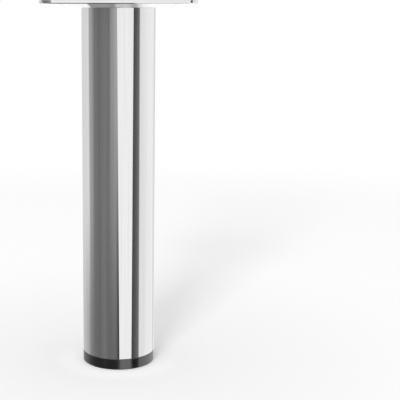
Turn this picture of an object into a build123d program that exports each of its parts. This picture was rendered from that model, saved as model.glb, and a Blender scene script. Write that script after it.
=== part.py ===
from build123d import *
from math import atan2, cos, pi, radians, tan
import os

# A round chromed furniture leg: a pressed square mounting plate, a steel tube
# and a levelling foot that screws out of the tube's lower end.
# Millimetres, +Z up, with the origin on the floor under the middle of the foot.

# Whole leg
leg_height = 300.0
foot_travel = 20.0

# Tube
tube_diameter = 60.0
tube_wall = 1.5
tube_edge_break = 0.25

# Mounting plate: the flat sheet
plate_side = 120.0
plate_thickness = 2.75
plate_corner_radius = 10.0
plate_edge_break = 0.2
plate_lower_edge_break = 0.6

# Mounting plate: the pressed dish round the tube
dish_depth = 2.95
dish_land = 15.2
dish_slope_run = 5.5
dish_bend_radius = 0.5
dish_edge_radius = 1.5
dish_margin = 2.0

# Mounting plate: the neck drawn down into the tube
neck_length = 9.0
neck_wall = 2.2
neck_mouth_radius = 1.5
neck_root_chamfer = 0.3
neck_clearance = 0.1

# Mounting plate: plain holes for the fixing screws
screw_spacing = 90.0
screw_hole_diameter = 8.0

# Levelling nut, an M10 hexagon nut
nut_across_flats = 17.0
nut_height = 8.0
nut_chamfer_angle = 30.0
nut_face_diameter = 16.2

# Levelling spindle, with its thread as a plain cylinder
spindle_diameter = 10.0
spindle_tip_chamfer = 1.0
spindle_spare = 2.0
spindle_head_diameter = 18.0
spindle_head_height = 3.0
thread_clearance = 0.05

# Plastic insert pressed into the tube's lower end
insert_height = 28.0
insert_wall = 2.0
insert_floor = 3.0
insert_recess = 0.5
insert_lead_in_height = 1.0
insert_lead_in_depth = 0.5
insert_clearance = 0.05
insert_boss_wall = 3.0
insert_rib_drop = 2.0
nut_clearance = 0.05
spindle_hole_clearance = 0.5

# Plastic levelling foot
foot_height = 9.0
foot_wall = 2.5
foot_base = 3.0
foot_bottom_round = 0.8
foot_top_break = 0.25
foot_boss_wall = 4.0
foot_boss_roof = 2.0
head_clearance = 0.05

# Ribs that tie the bosses of the insert and the foot to their walls
rib_count = 6
rib_thickness = 2.0

# Heights and radii that follow from the sizes above
plate_top = leg_height
plate_underside = plate_top - plate_thickness
dish_floor = plate_top - dish_depth
tube_radius = tube_diameter / 2
tube_bore_radius = tube_radius - tube_wall
tube_bottom = foot_height
tube_top = dish_floor - plate_thickness
nut_corner_radius = nut_across_flats / 2 / cos(pi / 6)
spindle_radius = spindle_diameter / 2
insert_bottom = tube_bottom + insert_recess
nut_top = insert_bottom + nut_height


def turned(corners):
    """A solid turned about Z from its half section, given as (radius, height, rounding)."""
    points = [(radius, height) for radius, height, rounding in corners]
    roundings = [rounding for radius, height, rounding in corners]
    outline = FilletPolyline(*points, radius=roundings, close=True)
    return revolve(Plane.XZ * make_face(outline), Axis.Z)


def hexagon(across_flats, height):
    """A hexagonal bar standing on the XY plane."""
    return extrude(RegularPolygon(across_flats / 2, 6, major_radius=False), height)


def radial_ribs(inner_radius, outer_radius, bottom, top):
    """Upright ribs between two radii, evenly spaced round Z."""
    length = outer_radius - inner_radius
    rib = Box(length, rib_thickness, top - bottom, align=(Align.MIN, Align.CENTER, Align.MIN))
    return [spot * Pos(0, 0, bottom) * rib for spot in PolarLocations(inner_radius, rib_count)]


def pressed_dish(join_radius, rim_radius, floor_radius):
    """The round pressing in the middle of the plate: rim, slope, flat floor and drawn neck."""
    slope_angle = atan2(dish_depth, dish_slope_run)
    underside_shift = plate_thickness * tan(slope_angle / 2)
    neck_outer_radius = tube_bore_radius - neck_clearance
    neck_inner_radius = neck_outer_radius - neck_wall
    neck_bottom = dish_floor - neck_length
    return turned([
        (join_radius, plate_top, 0),
        (rim_radius, plate_top, dish_edge_radius),
        (floor_radius, dish_floor, dish_bend_radius),
        (neck_inner_radius, dish_floor, neck_mouth_radius),
        (neck_inner_radius, neck_bottom, 0),
        (neck_outer_radius, neck_bottom, 0),
        (neck_outer_radius, tube_top - neck_root_chamfer, 0),
        (neck_outer_radius + neck_root_chamfer, tube_top, 0),
        (floor_radius + underside_shift, tube_top, dish_edge_radius),
        (rim_radius + underside_shift, plate_underside, dish_bend_radius),
        (join_radius, plate_underside, 0),
    ])


def make_mounting_plate():
    """The square plate, pressed from one sheet, with its dish and four screw holes."""
    floor_radius = tube_radius + dish_land
    rim_radius = floor_radius + dish_slope_run
    join_radius = rim_radius + dish_margin
    through_cut = 4 * plate_thickness
    outline = RectangleRounded(plate_side, plate_side, plate_corner_radius)
    sheet = extrude(Pos(0, 0, plate_underside) * outline, plate_thickness)
    flats = sheet.faces().sort_by(Axis.Z)
    sheet = chamfer(flats[0].edges(), plate_lower_edge_break)
    sheet = chamfer(sheet.faces().sort_by(Axis.Z)[-1].edges(), plate_edge_break)
    sheet -= Pos(0, 0, plate_underside) * Cylinder(join_radius, through_cut)
    plate = sheet + pressed_dish(join_radius, rim_radius, floor_radius)
    screw_hole = Cylinder(screw_hole_diameter / 2, through_cut)
    for spot in GridLocations(screw_spacing, screw_spacing, 2, 2):
        plate -= Pos(0, 0, plate_underside) * spot * screw_hole
    return plate


def make_leg_tube():
    """The round tube, with its bore eased at the top to clear the root of the neck."""
    bore_chamfer = neck_root_chamfer + neck_clearance
    return turned([
        (tube_bore_radius, tube_bottom, 0),
        (tube_radius - tube_edge_break, tube_bottom, 0),
        (tube_radius, tube_bottom + tube_edge_break, 0),
        (tube_radius, tube_top - tube_edge_break, 0),
        (tube_radius - tube_edge_break, tube_top, 0),
        (tube_bore_radius + bore_chamfer, tube_top, 0),
        (tube_bore_radius, tube_top - bore_chamfer, 0),
    ])


def make_tube_insert():
    """The moulded insert: a cup with a ribbed boss that holds the nut from below."""
    outer_radius = tube_bore_radius - insert_clearance
    inner_radius = outer_radius - insert_wall
    pocket_across_flats = nut_across_flats + 2 * nut_clearance
    boss_radius = nut_corner_radius + insert_boss_wall
    floor_top = insert_bottom + insert_floor
    insert_top = insert_bottom + insert_height
    hole_radius = spindle_radius + spindle_hole_clearance
    insert = turned([
        (hole_radius, insert_bottom, 0),
        (outer_radius, insert_bottom, 0),
        (outer_radius, insert_top - insert_lead_in_height, 0),
        (outer_radius - insert_lead_in_depth, insert_top, 0),
        (inner_radius, insert_top, 0),
        (inner_radius, floor_top, 0),
        (boss_radius, floor_top, 0),
        (boss_radius, insert_top, 0),
        (hole_radius, insert_top, 0),
    ])
    boss_middle = boss_radius - insert_boss_wall / 2
    wall_middle = inner_radius + insert_wall / 2
    for rib in radial_ribs(boss_middle, wall_middle, floor_top, insert_top - insert_rib_drop):
        insert += rib
    return insert - Pos(0, 0, insert_bottom) * hexagon(pocket_across_flats, nut_height)


def make_insert_nut():
    """The hexagon nut in the insert, its corners chamfered on both faces."""
    face_radius = nut_face_diameter / 2
    chamfer_height = (nut_corner_radius - face_radius) * tan(radians(nut_chamfer_angle))
    bore_radius = spindle_radius + thread_clearance
    blank = turned([
        (bore_radius, insert_bottom, 0),
        (face_radius, insert_bottom, 0),
        (nut_corner_radius, insert_bottom + chamfer_height, 0),
        (nut_corner_radius, nut_top - chamfer_height, 0),
        (face_radius, nut_top, 0),
        (bore_radius, nut_top, 0),
    ])
    return blank & Pos(0, 0, insert_bottom) * hexagon(nut_across_flats, nut_height)


def make_levelling_spindle():
    """The steel spindle, long enough to fill the nut with the foot screwed right out."""
    head_radius = spindle_head_diameter / 2
    head_top = foot_base + spindle_head_height
    tip = nut_top + foot_travel + spindle_spare
    return turned([
        (0, foot_base, 0),
        (head_radius, foot_base, 0),
        (head_radius, head_top, 0),
        (spindle_radius, head_top, 0),
        (spindle_radius, tip - spindle_tip_chamfer, 0),
        (spindle_radius - spindle_tip_chamfer, tip, 0),
        (0, tip, 0),
    ])


def make_levelling_foot():
    """The moulded foot: a flat base, a rim under the tube and a boss round the spindle's head."""
    rim_inner_radius = tube_radius - foot_wall
    head_hole_radius = spindle_head_diameter / 2 + head_clearance
    shank_hole_radius = spindle_radius + head_clearance
    boss_radius = head_hole_radius + foot_boss_wall
    head_roof = foot_base + spindle_head_height
    boss_top = head_roof + foot_boss_roof
    foot = turned([
        (0, 0, 0),
        (tube_radius, 0, foot_bottom_round),
        (tube_radius, foot_height - foot_top_break, 0),
        (tube_radius - foot_top_break, foot_height, 0),
        (rim_inner_radius, foot_height, 0),
        (rim_inner_radius, foot_base, 0),
        (boss_radius, foot_base, 0),
        (boss_radius, boss_top, 0),
        (shank_hole_radius, boss_top, 0),
        (shank_hole_radius, head_roof, 0),
        (head_hole_radius, head_roof, 0),
        (head_hole_radius, foot_base, 0),
        (0, foot_base, 0),
    ])
    boss_middle = boss_radius - foot_boss_wall / 2
    rim_middle = rim_inner_radius + foot_wall / 2
    for rib in radial_ribs(boss_middle, rim_middle, foot_base, boss_top):
        foot += rib
    return foot


nodes = {
    "mounting_plate": make_mounting_plate(),
    "leg_tube": make_leg_tube(),
    "tube_insert": make_tube_insert(),
    "insert_nut": make_insert_nut(),
    "levelling_spindle": make_levelling_spindle(),
    "levelling_foot": make_levelling_foot(),
}

os.makedirs("parts", exist_ok=True)
for name, solid in nodes.items():
    export_step(solid, f"parts/{name}.step")
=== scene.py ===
import math
import bmesh
import bpy
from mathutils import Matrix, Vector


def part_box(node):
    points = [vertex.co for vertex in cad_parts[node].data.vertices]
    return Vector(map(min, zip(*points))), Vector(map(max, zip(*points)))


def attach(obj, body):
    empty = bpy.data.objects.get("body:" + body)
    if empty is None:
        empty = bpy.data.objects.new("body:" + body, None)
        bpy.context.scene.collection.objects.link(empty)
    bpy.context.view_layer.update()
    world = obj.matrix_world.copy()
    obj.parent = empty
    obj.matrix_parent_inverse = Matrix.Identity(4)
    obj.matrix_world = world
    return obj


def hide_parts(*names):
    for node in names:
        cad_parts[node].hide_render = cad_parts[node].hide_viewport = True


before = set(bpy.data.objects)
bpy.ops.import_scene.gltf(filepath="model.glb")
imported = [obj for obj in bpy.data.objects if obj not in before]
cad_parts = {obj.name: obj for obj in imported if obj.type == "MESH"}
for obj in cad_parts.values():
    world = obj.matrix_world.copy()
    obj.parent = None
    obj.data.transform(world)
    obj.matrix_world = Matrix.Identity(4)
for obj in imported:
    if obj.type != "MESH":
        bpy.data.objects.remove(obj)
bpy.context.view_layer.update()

# The looks of a chromed furniture leg with a black levelling foot, on a white studio floor.
# Metres, +Z up, with the origin on the floor under the middle of the foot. The camera stands
# on the -Y side. Azimuths are degrees from -Y, positive towards +X, and elevations are degrees.

# Photograph, in pixels: its width, the lens's focal length and the column of the leg's axis
photo_width = 400
focal_pixels = 1012.0
leg_column = 118.51

# Camera that took it, with its pitch in degrees and its sensor in millimetres
camera_distance = 0.8257
camera_height = 0.2947
camera_pitch = 10.789
sensor_width = 36.0

# Degrees in a full turn
full_turn = 360.0

# Reflected walls round the leg, as (azimuth, grey level): light walls, dark flags and the soft
# steps between them. The left side is darker near the floor.
left_bands = [
    (-180.0, 1.15),
    (-168.5, 1.15),
    (-164.5, 0.76),
    (-106.3, 0.8),
    (-102.5, 0.42),
    (-92.0, 0.37),
    (-81.0, 0.18),
    (-70.0, 0.17),
    (-63.0, 0.14),
    (-45.0, 0.18),
    (-30.0, 0.16),
]
left_bands_low = [
    (-180.0, 1.15),
    (-168.5, 1.15),
    (-164.5, 0.63),
    (-140.0, 0.57),
    (-125.0, 0.53),
    (-110.0, 0.41),
    (-105.0, 0.31),
    (-100.0, 0.25),
    (-81.0, 0.15),
    (-63.0, 0.12),
    (-45.0, 0.17),
    (-30.0, 0.12),
]
right_bands = [
    (48.0, 0.05),
    (55.0, 0.08),
    (67.1, 0.175),
    (70.8, 0.88),
    (82.0, 0.87),
    (100.0, 0.97),
    (136.0, 1.02),
    (145.0, 0.78),
    (164.5, 0.77),
    (168.5, 1.15),
    (180.0, 1.15),
]
left_low_start = -10.0
left_low_full = -19.0

# Soft glow to the left of the softbox, fading towards the floor
glow_bands = [
    (-29.0, 0.0),
    (-24.0, 0.14),
    (-6.0, 0.33),
    (6.0, 0.33),
    (20.0, 0.0),
]
glow_gone = -24.0
glow_full = 1.0

# Front softbox, which narrows towards the floor and has a dark frame there
softbox_level = 1.01
softbox_left = -4.4
softbox_right = 47.0
softbox_left_lean = -0.37
softbox_right_lean = 0.235
softbox_edge = 0.5
softbox_frame_level = 0.0
softbox_frame_left_width = 11.0
softbox_frame_right_width = 4.0
softbox_frame_start = -6.0
softbox_frame_full = -19.0

# Reflected upper walls, as (azimuth, grey level), with a brighter wall behind the leg
upper_bands = [
    (-180.0, 0.72),
    (-105.0, 0.7),
    (-60.0, 0.56),
    (0.0, 0.45),
    (70.0, 0.6),
    (100.0, 0.85),
    (140.0, 1.08),
    (180.0, 1.08),
]
upper_start = 6.0
upper_full = 15.0
upper_behind_level = 1.08
upper_behind_start = -158.3
upper_behind_full = -158.5

# Reflected ceiling, as (azimuth, grey level), with a darker gap behind the leg
ceiling_bands = [
    (-180.0, 0.47),
    (-115.0, 0.46),
    (-60.0, 0.75),
    (60.0, 0.88),
    (115.0, 0.5),
    (180.0, 0.47),
]
ceiling_start = 19.0
ceiling_full = 26.0
ceiling_gap_level = 0.22
ceiling_gap_low = 38.0
ceiling_gap_high = 46.0
ceiling_gap_edge = 3.0
ceiling_gap_side = 105.0
ceiling_gap_middle = 125.0

# Reflected floor far from the leg, as (azimuth, grey level): bright behind it, dim in front
far_floor_bands = [
    (-180.0, 1.1),
    (-105.0, 1.05),
    (-90.0, 0.35),
    (0.0, 0.3),
    (15.0, 0.6),
    (40.0, 0.6),
    (50.0, 0.3),
    (66.0, 0.3),
    (72.0, 1.0),
    (180.0, 1.1),
]
far_floor_start = -28.0
far_floor_full = -45.0
floor_behind_level = 1.15
floor_behind_side = 150.0
floor_behind_middle = 160.0
floor_behind_start = -18.0
floor_behind_full = -22.0

# Reflected floor close to the leg and straight under it, as (azimuth, grey level)
close_floor_bands = [
    (-180.0, 0.3),
    (-100.0, 0.36),
    (-60.0, 0.38),
    (-25.0, 0.32),
    (-8.0, 0.75),
    (50.0, 0.78),
    (70.0, 0.55),
    (96.0, 0.62),
    (110.0, 1.0),
    (180.0, 1.1),
]
close_floor_start = -45.5
close_floor_full = -48.0
underneath_bands = [
    (-180.0, 0.06),
    (75.5, 0.06),
    (78.5, 0.7),
    (180.0, 0.7),
]
underneath_start = -70.0
underneath_full = -80.0

# Light: the white that the camera sees behind the leg, an even ambient level and one large
# soft lamp at the front left, with its power in watts
background_level = 1.0
ambient_level = 0.824
key_power = 267.0
key_width = 2.0
key_height = 3.85
key_distance = 8.0
key_azimuth = -17.7
key_elevation = 26.2

# White floor, with painted shade that makes it a little darker near the leg, and lost in the background
# far from it
floor_size = 8.0
floor_drop = 0.0001
floor_painted_shade_level = 0.955
floor_level_far = 0.999
floor_shade_near = 0.08
floor_shade_far = 0.36
floor_fade_start = 0.7
floor_fade_end = 1.16

# Painted light on the floor round the foot, on the lamp's side, standing in for the light that the chrome
# throws there
painted_light_level = 0.12
thrown_near = 0.031
thrown_far = 0.06
thrown_gone = 0.03
thrown_full = -0.012

# Usual spread and detail of a noise texture
noise_low = 0.3
noise_high = 0.7
noise_detail = 2.0

# Chrome plating, with grain in waves a metre and haze as the range of its roughness
chrome_metallic = 0.97
chrome_darkest = (0.8, 0.8, 0.805, 1.0)
chrome_lightest = (0.845, 0.845, 0.85, 1.0)
chrome_haze_grain = (60.0, 60.0, 25.0)
tube_grain = (700.0, 700.0, 6.0)
tube_grain_depth = 0.0000025
tube_haze = (0.02, 0.045)
plate_grain = (60.0, 60.0, 60.0)
plate_grain_depth = 0.0000015
plate_haze = (0.005, 0.015)

# Bores of the tube and of the plate's neck, thinly plated and darkened with painted shade, with upright
# drawing marks, and the walls of the four screw holes, darkened the same way
tube_bore_limit = 0.029
neck_bore_limit = 0.0266
bore_plating_and_shade_tint = (0.42, 0.42, 0.425, 1.0)
mark_grain = (270.0, 270.0, 0.0)
mark_detail = 3.0
mark_start = 0.47
mark_full = 0.63
mark_roughness = 0.62
screw_offset = 0.045
screw_hole_limit = 0.00405
screw_hole_plating_and_shade_tint = (0.64, 0.64, 0.645, 1.0)

# Moulded black plastics, glossier on the foot than on the insert
sheen_grain = (220.0, 220.0, 220.0)
moulding_grain = (2600.0, 2600.0, 2600.0)
foot_colour = (0.0008, 0.0008, 0.0009, 1.0)
foot_sheen = (0.14, 0.21)
foot_grain_depth = 0.0000015
foot_refraction = 2.1
insert_colour = (0.03, 0.03, 0.03, 1.0)
insert_sheen = (0.45, 0.6)
insert_grain_depth = 0.00001

# Zinc plating of the spindle and the nut
zinc_colour = (0.62, 0.63, 0.645, 1.0)
zinc_cloud_grain = (420.0, 420.0, 420.0)
zinc_cloud_detail = 4.0
zinc_haze = (0.2, 0.38)
zinc_grain = (3000.0, 3000.0, 3000.0)
zinc_grain_depth = 0.000004

# Levelling spindle with its M10 thread
shank_radius = 0.005
tip_chamfer = 0.001
head_height = 0.003
head_edge_round = 0.0004
thread_pitch = 0.0015
thread_depth = 0.00092
thread_crest_share = 0.125
thread_root_share = 0.25
thread_steps = 14
thread_run_in = 0.0015
spindle_segments = 64
smooth_angle = 35.0


def feed(tree, socket, value):
    """Gives a node's input a value: another node's output, or a plain number, colour or vector."""
    if isinstance(value, bpy.types.NodeSocket):
        tree.links.new(value, socket)
    else:
        socket.default_value = value


def calculate(tree, operation, *values):
    """The output of a Math node."""
    node = tree.nodes.new("ShaderNodeMath")
    node.operation = operation
    for socket, value in zip(node.inputs, values):
        feed(tree, socket, value)
    return node.outputs["Value"]


def vector_step(tree, operation, first, second=(0.0, 0.0, 0.0)):
    """A Vector Math node that works on a socket's vector and a plain one."""
    node = tree.nodes.new("ShaderNodeVectorMath")
    node.operation = operation
    feed(tree, node.inputs[0], first)
    feed(tree, node.inputs[1], second)
    return node


def ramped(tree, value, start, end, low=0.0, high=1.0):
    """A smooth step of a socket's value from low at start to high at end."""
    node = tree.nodes.new("ShaderNodeMapRange")
    node.interpolation_type = "SMOOTHSTEP"
    node.inputs["From Min"].default_value = start
    node.inputs["From Max"].default_value = end
    node.inputs["To Min"].default_value = low
    node.inputs["To Max"].default_value = high
    feed(tree, node.inputs["Value"], value)
    return node.outputs["Result"]


def blended(tree, share, first, second, kind="FLOAT"):
    """A mix of two levels or, with the kind RGBA, of two colours."""
    node = tree.nodes.new("ShaderNodeMix")
    node.data_type = kind
    feed(tree, node.inputs["Factor"], share)
    feed(tree, node.inputs["A"], first)
    feed(tree, node.inputs["B"], second)
    return node.outputs["Result"]


def band_ramp(tree, azimuth, bands):
    """The grey level of bands of light at an azimuth in degrees."""
    ramp = tree.nodes.new("ShaderNodeValToRGB")
    stops = ramp.color_ramp.elements
    while len(stops) < len(bands):
        stops.new(1.0)
    for stop, (angle, level) in zip(stops, bands):
        stop.position = angle / full_turn + 0.5
        stop.color = (level, level, level, 1.0)
    place = calculate(tree, "MULTIPLY_ADD", azimuth, 1 / full_turn, 0.5)
    feed(tree, ramp.inputs["Fac"], place)
    return ramp.outputs["Color"]


def world_angles(tree):
    """The azimuth and the elevation of a direction in the world."""
    coordinates = tree.nodes.new("ShaderNodeTexCoord")
    direction = tree.nodes.new("ShaderNodeSeparateXYZ")
    feed(tree, direction.inputs["Vector"], coordinates.outputs["Generated"])
    forwards = calculate(tree, "MULTIPLY", direction.outputs["Y"], -1.0)
    turn = calculate(tree, "ARCTAN2", direction.outputs["X"], forwards)
    rise = calculate(tree, "ARCSINE", direction.outputs["Z"])
    return calculate(tree, "DEGREES", turn), calculate(tree, "DEGREES", rise)


def studio_walls(tree, azimuth, elevation):
    """The level of the walls and flags round the leg, with the glow beside the softbox."""
    high_walls = band_ramp(tree, azimuth, left_bands + right_bands)
    low_walls = band_ramp(tree, azimuth, left_bands_low + right_bands)
    low = ramped(tree, elevation, left_low_start, left_low_full)
    walls = blended(tree, low, high_walls, low_walls)
    glow_fade = ramped(tree, elevation, glow_gone, glow_full)
    glow = calculate(tree, "MULTIPLY", band_ramp(tree, azimuth, glow_bands), glow_fade)
    return calculate(tree, "ADD", walls, glow)


def add_softbox(tree, azimuth, elevation, studio):
    """The studio's level with the front softbox and its dark frame added."""
    left = calculate(tree, "MULTIPLY_ADD", elevation, softbox_left_lean, softbox_left)
    right = calculate(tree, "MULTIPLY_ADD", elevation, softbox_right_lean, softbox_right)
    past_left = calculate(tree, "SUBTRACT", azimuth, left)
    before_right = calculate(tree, "SUBTRACT", right, azimuth)
    framed_sides = calculate(
        tree,
        "MULTIPLY",
        ramped(tree, past_left, -softbox_frame_left_width, -softbox_edge),
        ramped(tree, before_right, -softbox_frame_right_width, -softbox_edge),
    )
    framed_heights = ramped(tree, elevation, softbox_frame_start, softbox_frame_full)
    framed = calculate(tree, "MULTIPLY", framed_sides, framed_heights)
    inside = calculate(
        tree,
        "MULTIPLY",
        ramped(tree, past_left, -softbox_edge, softbox_edge),
        ramped(tree, before_right, -softbox_edge, softbox_edge),
    )
    studio = blended(tree, framed, studio, softbox_frame_level)
    return blended(tree, inside, studio, softbox_level)


def add_upper_walls(tree, azimuth, elevation, studio):
    """The studio's level with the upper walls added above it."""
    behind = ramped(tree, azimuth, upper_behind_start, upper_behind_full)
    walls = blended(tree, behind, band_ramp(tree, azimuth, upper_bands), upper_behind_level)
    return blended(tree, ramped(tree, elevation, upper_start, upper_full), studio, walls)


def add_ceiling(tree, azimuth, elevation, studio):
    """The studio's level with the ceiling and its darker gap added above it."""
    ceiling = band_ramp(tree, azimuth, ceiling_bands)
    studio = blended(tree, ramped(tree, elevation, ceiling_start, ceiling_full), studio, ceiling)
    gap_heights = calculate(
        tree,
        "MULTIPLY",
        ramped(tree, elevation, ceiling_gap_low - ceiling_gap_edge, ceiling_gap_low + ceiling_gap_edge),
        ramped(tree, elevation, ceiling_gap_high + ceiling_gap_edge, ceiling_gap_high - ceiling_gap_edge),
    )
    from_front = calculate(tree, "ABSOLUTE", azimuth)
    gap_sides = ramped(tree, from_front, ceiling_gap_side, ceiling_gap_middle)
    gap = calculate(tree, "MULTIPLY", gap_heights, gap_sides)
    return blended(tree, gap, studio, ceiling_gap_level)


def add_reflected_floor(tree, azimuth, elevation, studio):
    """The studio's level with the floor added below it."""
    far_floor = band_ramp(tree, azimuth, far_floor_bands)
    studio = blended(tree, ramped(tree, elevation, far_floor_start, far_floor_full), studio, far_floor)
    from_front = calculate(tree, "ABSOLUTE", azimuth)
    behind = calculate(
        tree,
        "MULTIPLY",
        ramped(tree, from_front, floor_behind_side, floor_behind_middle),
        ramped(tree, elevation, floor_behind_start, floor_behind_full),
    )
    studio = blended(tree, behind, studio, floor_behind_level)
    close = ramped(tree, elevation, close_floor_start, close_floor_full)
    studio = blended(tree, close, studio, band_ramp(tree, azimuth, close_floor_bands))
    underneath = ramped(tree, elevation, underneath_start, underneath_full)
    return blended(tree, underneath, studio, band_ramp(tree, azimuth, underneath_bands))


def make_world():
    """White behind the leg, even ambient light, and the studio that the chrome reflects."""
    world = bpy.data.worlds.new("studio")
    world.use_nodes = True
    bpy.context.scene.world = world
    tree = world.node_tree
    tree.nodes.clear()
    azimuth, elevation = world_angles(tree)
    studio = studio_walls(tree, azimuth, elevation)
    for add in (add_softbox, add_upper_walls, add_ceiling, add_reflected_floor):
        studio = add(tree, azimuth, elevation, studio)
    path = tree.nodes.new("ShaderNodeLightPath")
    level = blended(tree, path.outputs["Is Glossy Ray"], ambient_level, studio)
    level = blended(tree, path.outputs["Is Camera Ray"], level, background_level)
    background = tree.nodes.new("ShaderNodeBackground")
    background.inputs["Color"].default_value = (1.0, 1.0, 1.0, 1.0)
    feed(tree, background.inputs["Strength"], level)
    output = tree.nodes.new("ShaderNodeOutputWorld")
    feed(tree, output.inputs["Surface"], background.outputs["Background"])


def make_key_lamp():
    """The lamp at the front left, which throws the leg's shadow back to the right."""
    lamp = bpy.data.lights.new("key", "AREA")
    lamp.energy = key_power
    lamp.shape = "RECTANGLE"
    lamp.size = key_width
    lamp.size_y = key_height
    key = bpy.data.objects.new("key", lamp)
    azimuth = math.radians(key_azimuth)
    elevation = math.radians(key_elevation)
    reach = key_distance * math.cos(elevation)
    rise = key_distance * math.sin(elevation)
    key.location = (reach * math.sin(azimuth), -reach * math.cos(azimuth), rise)
    key.rotation_euler = (math.pi / 2 - elevation, 0.0, azimuth)
    key.visible_glossy = False
    bpy.context.scene.collection.objects.link(key)


def painted_thrown_light(tree, place, reach):
    """Painted light on the floor round the foot, seen by the camera alone, standing in for the light that
    the chrome throws there.
    """
    azimuth = math.radians(key_azimuth)
    from_lamp = (-math.sin(azimuth), math.cos(azimuth), 0.0)
    away = vector_step(tree, "DOT_PRODUCT", place, from_lamp)
    side = ramped(tree, away.outputs["Value"], thrown_gone, thrown_full)
    ring = ramped(tree, reach, thrown_far, thrown_near, 0.0, painted_light_level)
    path = tree.nodes.new("ShaderNodeLightPath")
    seen_side = calculate(tree, "MULTIPLY", path.outputs["Is Camera Ray"], side)
    light = tree.nodes.new("ShaderNodeEmission")
    feed(tree, light.inputs["Strength"], calculate(tree, "MULTIPLY", seen_side, ring))
    return light.outputs["Emission"]


def floor_finish():
    """White with painted shade near the leg and painted light round the foot, fading into the white
    background far from the leg.
    """
    material = bpy.data.materials.new("white_floor")
    material.use_nodes = True
    tree = material.node_tree
    tree.nodes.clear()
    place = tree.nodes.new("ShaderNodeTexCoord").outputs["Object"]
    reach = vector_step(tree, "LENGTH", place).outputs["Value"]
    # Painted shade: the floor's colour is a little darker near the leg
    shade = ramped(tree, reach, floor_shade_near, floor_shade_far, floor_painted_shade_level, floor_level_far)
    diffuse = tree.nodes.new("ShaderNodeBsdfDiffuse")
    feed(tree, diffuse.inputs["Color"], shade)
    lit = tree.nodes.new("ShaderNodeAddShader")
    feed(tree, lit.inputs[0], diffuse.outputs["BSDF"])
    # Painted light round the foot, added for the camera alone
    feed(tree, lit.inputs[1], painted_thrown_light(tree, place, reach))
    white = tree.nodes.new("ShaderNodeEmission")
    mix = tree.nodes.new("ShaderNodeMixShader")
    feed(tree, mix.inputs["Fac"], ramped(tree, reach, floor_fade_start, floor_fade_end))
    feed(tree, mix.inputs[1], lit.outputs["Shader"])
    feed(tree, mix.inputs[2], white.outputs["Emission"])
    output = tree.nodes.new("ShaderNodeOutputMaterial")
    feed(tree, output.inputs["Surface"], mix.outputs["Shader"])
    return material


def make_floor():
    """A flat floor just under the foot, which keeps the leg's shadow."""
    mesh = bpy.data.meshes.new("floor")
    shape = bmesh.new()
    bmesh.ops.create_grid(shape, x_segments=1, y_segments=1, size=floor_size / 2)
    shape.to_mesh(mesh)
    shape.free()
    mesh.materials.append(floor_finish())
    floor = bpy.data.objects.new("floor", mesh)
    floor.location.z = -floor_drop
    floor.visible_glossy = False
    bpy.context.scene.collection.objects.link(floor)
    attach(floor, "foot")


def make_camera():
    """The photograph's camera, in front of the left leg and looking slightly down."""
    data = bpy.data.cameras.new("photo_camera")
    data.sensor_width = sensor_width
    data.lens = focal_pixels / photo_width * sensor_width
    data.shift_x = 0.5 - leg_column / photo_width
    camera = bpy.data.objects.new("photo_camera", data)
    camera.location = (0.0, -camera_distance, camera_height)
    camera.rotation_euler = (math.radians(90 - camera_pitch), 0.0, 0.0)
    bpy.context.scene.collection.objects.link(camera)
    bpy.context.scene.camera = camera


def new_material(name):
    """A material with a Principled shader, given as (material, node tree, shader)."""
    material = bpy.data.materials.new(name)
    material.use_nodes = True
    tree = material.node_tree
    return material, tree, tree.nodes["Principled BSDF"]


def noise(tree, grain, detail=noise_detail):
    """A noise texture in the part's own frame, with a grain for each axis in waves a metre."""
    coordinates = tree.nodes.new("ShaderNodeTexCoord")
    mapping = tree.nodes.new("ShaderNodeMapping")
    mapping.inputs["Scale"].default_value = grain
    texture = tree.nodes.new("ShaderNodeTexNoise")
    texture.inputs["Scale"].default_value = 1.0
    texture.inputs["Detail"].default_value = detail
    feed(tree, mapping.inputs["Vector"], coordinates.outputs["Object"])
    feed(tree, texture.inputs["Vector"], mapping.outputs["Vector"])
    return texture.outputs["Fac"]


def varied(tree, grain, limits=(0.0, 1.0), detail=noise_detail):
    """A value that varies over the surface between two limits."""
    return ramped(tree, noise(tree, grain, detail), noise_low, noise_high, *limits)


def add_bump(tree, shader, grain, depth):
    """Fine relief of a depth in metres on a shader's normal."""
    bump = tree.nodes.new("ShaderNodeBump")
    bump.inputs["Strength"].default_value = 1.0
    bump.inputs["Distance"].default_value = depth
    feed(tree, bump.inputs["Height"], noise(tree, grain))
    feed(tree, shader.inputs["Normal"], bump.outputs["Normal"])


def inside_holes(tree, offset, limit):
    """Whether a point lies within a radius of upright axes at an offset in X and Y, as 1 or 0."""
    coordinates = tree.nodes.new("ShaderNodeTexCoord")
    corner = vector_step(tree, "ABSOLUTE", coordinates.outputs["Object"])
    place = vector_step(tree, "SUBTRACT", corner.outputs["Vector"], (offset, offset, 0.0))
    flat = vector_step(tree, "MULTIPLY", place.outputs["Vector"], (1.0, 1.0, 0.0))
    radius = vector_step(tree, "LENGTH", flat.outputs["Vector"])
    return calculate(tree, "LESS_THAN", radius.outputs["Value"], limit)


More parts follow.
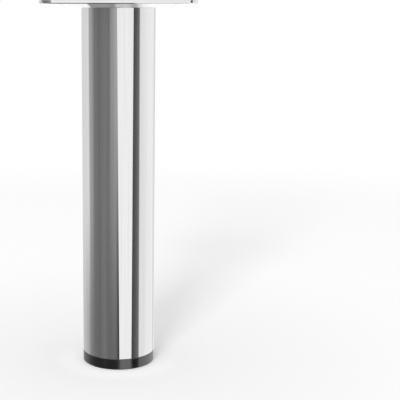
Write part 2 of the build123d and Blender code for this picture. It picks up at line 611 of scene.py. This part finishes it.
def chrome(name, grain, grain_depth, haze_limits, bore_limit):
    """Polished chrome plating with a faint grain, darker in the screw holes and the streaked bore from
    thin plating and painted shade.
    """
    material, tree, shader = new_material(name)
    shader.inputs["Metallic"].default_value = chrome_metallic
    bore = inside_holes(tree, 0.0, bore_limit)
    screw_holes = inside_holes(tree, screw_offset, screw_hole_limit)
    tint = blended(tree, varied(tree, grain), chrome_darkest, chrome_lightest, "RGBA")
    # Thin plating and painted shade darken the bore and the screw holes
    tint = blended(tree, bore, tint, bore_plating_and_shade_tint, "RGBA")
    tint = blended(tree, screw_holes, tint, screw_hole_plating_and_shade_tint, "RGBA")
    feed(tree, shader.inputs["Base Color"], tint)
    haze = varied(tree, chrome_haze_grain, haze_limits)
    streaks = ramped(tree, noise(tree, mark_grain, mark_detail), mark_start, mark_full)
    marks = calculate(tree, "MULTIPLY", bore, streaks)
    feed(tree, shader.inputs["Roughness"], blended(tree, marks, haze, mark_roughness))
    add_bump(tree, shader, grain, grain_depth)
    return material


def moulded_plastic(name, colour, sheen_limits, grain_depth):
    """Moulded plastic with a fine grain and an uneven sheen, given as (material, shader)."""
    material, tree, shader = new_material(name)
    shader.inputs["Base Color"].default_value = colour
    feed(tree, shader.inputs["Roughness"], varied(tree, sheen_grain, sheen_limits))
    add_bump(tree, shader, moulding_grain, grain_depth)
    return material, shader


def zinc_plating(name):
    """Bright zinc plating, slightly cloudy."""
    material, tree, shader = new_material(name)
    shader.inputs["Base Color"].default_value = zinc_colour
    shader.inputs["Metallic"].default_value = 1.0
    clouds = varied(tree, zinc_cloud_grain, zinc_haze, zinc_cloud_detail)
    feed(tree, shader.inputs["Roughness"], clouds)
    add_bump(tree, shader, zinc_grain, zinc_grain_depth)
    return material


def thread_height(turns):
    """How far the thread stands above its root, from 0 to 1, at a number of turns."""
    flank = (1 - thread_crest_share - thread_root_share) / 2
    place = turns % 1.0
    from_crest = abs(place - 0.5) - thread_crest_share / 2
    return min(1.0, max(0.0, 1.0 - from_crest / flank))


def spindle_rings():
    """The spindle's rings from its head up, as (height, plain radius, share of the thread)."""
    low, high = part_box("levelling_spindle")
    head_radius = high.x
    head_top = low.z + head_height
    rings = [
        (low.z, head_radius - head_edge_round, 0.0),
        (low.z + head_edge_round, head_radius, 0.0),
        (head_top - head_edge_round, head_radius, 0.0),
        (head_top, head_radius - head_edge_round, 0.0),
    ]
    count = round((high.z - head_top) / (thread_pitch / thread_steps))
    for index in range(count + 1):
        height = head_top + index * (high.z - head_top) / count
        plain = min(shank_radius, shank_radius - tip_chamfer + high.z - height)
        share = min(1.0, max(0.0, (height - head_top) / thread_run_in))
        rings.append((height, plain, share))
    return rings


def threaded_radius(plain, share, turns):
    """The spindle's radius where its thread has made a number of turns."""
    if share == 0:
        return plain
    cut = share * thread_depth * (1 - thread_height(turns))
    return min(plain, shank_radius - cut)


def spindle_shape():
    """The spindle's closed surface, smooth apart from its sharp edges."""
    shape = bmesh.new()
    rings = []
    for height, plain, share in spindle_rings():
        ring = []
        for index in range(spindle_segments):
            turn = index / spindle_segments
            angle = 2 * math.pi * turn
            radius = threaded_radius(plain, share, height / thread_pitch - turn)
            ring.append(shape.verts.new((radius * math.cos(angle), radius * math.sin(angle), height)))
        rings.append(ring)
    for lower, upper in zip(rings, rings[1:]):
        for index in range(spindle_segments):
            following = (index + 1) % spindle_segments
            shape.faces.new((lower[index], lower[following], upper[following], upper[index]))
    shape.faces.new(reversed(rings[0]))
    shape.faces.new(rings[-1])
    for face in shape.faces:
        face.smooth = True
    for edge in shape.edges:
        edge.smooth = edge.calc_face_angle(0.0) < math.radians(smooth_angle)
    return shape


def make_threaded_spindle(material):
    """The levelling spindle with a real right-hand thread, in place of the plain cylinder."""
    mesh = bpy.data.meshes.new("threaded_spindle")
    shape = spindle_shape()
    shape.to_mesh(mesh)
    shape.free()
    mesh.materials.append(material)
    spindle = bpy.data.objects.new("threaded_spindle", mesh)
    bpy.context.scene.collection.objects.link(spindle)
    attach(spindle, "spindle")
    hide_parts("levelling_spindle")


def dress(node, material):
    """Gives a CAD node its finished material."""
    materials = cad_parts[node].data.materials
    materials.clear()
    materials.append(material)


def dress_cad_nodes(zinc):
    """The finishes of the pieces whose CAD shape is shown as it is."""
    tube_chrome = chrome("chrome_tube", tube_grain, tube_grain_depth, tube_haze, tube_bore_limit)
    plate_chrome = chrome("chrome_plate", plate_grain, plate_grain_depth, plate_haze, neck_bore_limit)
    foot_black, foot_shader = moulded_plastic("foot_black", foot_colour, foot_sheen, foot_grain_depth)
    foot_shader.inputs["IOR"].default_value = foot_refraction
    insert_black = moulded_plastic("insert_black", insert_colour, insert_sheen, insert_grain_depth)[0]
    dress("leg_tube", tube_chrome)
    dress("mounting_plate", plate_chrome)
    dress("levelling_foot", foot_black)
    dress("tube_insert", insert_black)
    dress("insert_nut", zinc)


bpy.context.scene.view_settings.view_transform = "Standard"
make_world()
make_key_lamp()
make_floor()
make_camera()
zinc_finish = zinc_plating("zinc")
dress_cad_nodes(zinc_finish)
make_threaded_spindle(zinc_finish)
